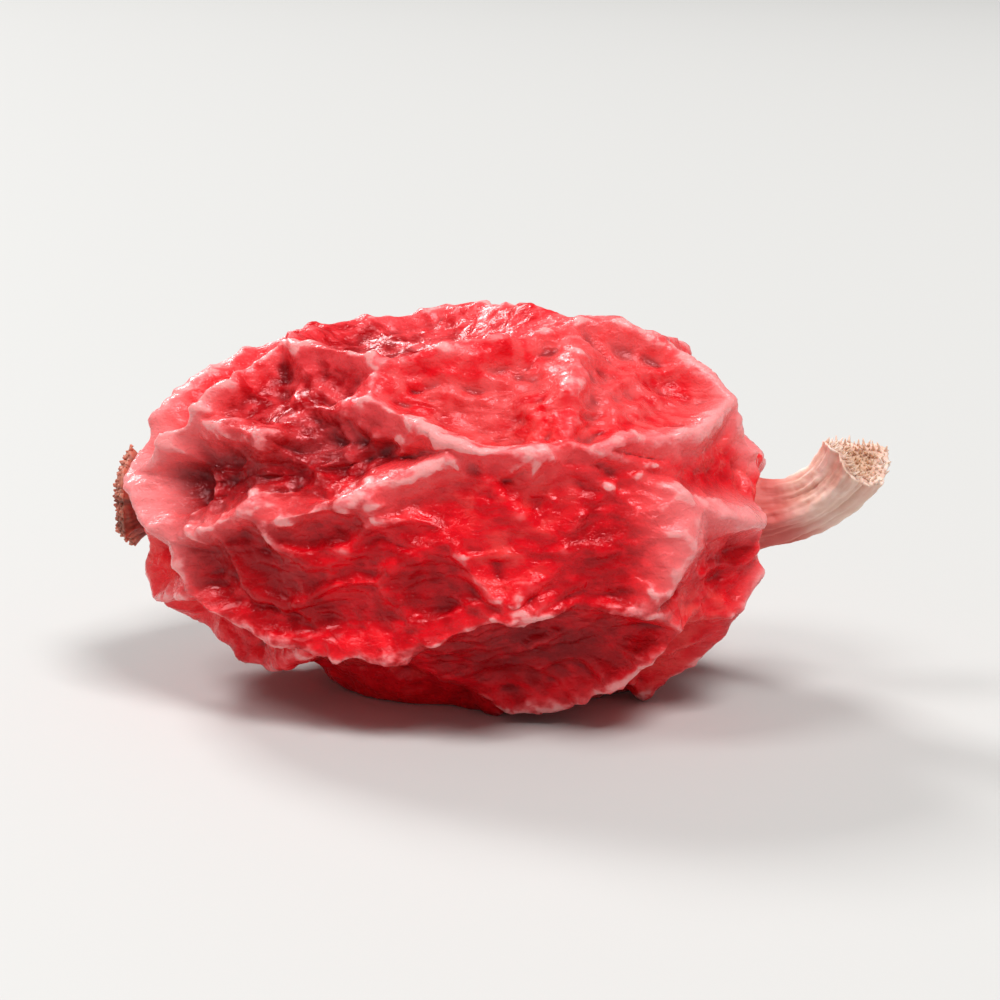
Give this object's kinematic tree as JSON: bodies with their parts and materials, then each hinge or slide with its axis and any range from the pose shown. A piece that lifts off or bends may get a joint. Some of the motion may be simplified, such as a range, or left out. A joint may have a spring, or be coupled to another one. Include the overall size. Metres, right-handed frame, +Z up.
{
  "type": "dried barberry",
  "caption": "One dried red barberry on its side: a wrinkled oblong fruit with a net of raised crests, a pale stalk stub and a puckered stigma remnant.",
  "frame": {"origin": "on the surface that the berry rests on, under the middle of its box", "axes": "+X along the fruit towards its stalk, +Z up, -Y towards the side that shows in the picture"},
  "size_m": [0.0088, 0.0048, 0.0045],
  "materials": {
    "fruit_skin": "dried glossy fruit skin, deep red in the hollows and pale pink along the crests",
    "stalk": "dry pale cream stalk, matt",
    "stigma": "dry puckered pink-brown remnant, satin"
  },
  "bodies": {
    "root": {"fruit": "fruit_skin", "stalk_stub": "stalk", "stigma_remnant": "stigma"}
  },
  "joints": []
}
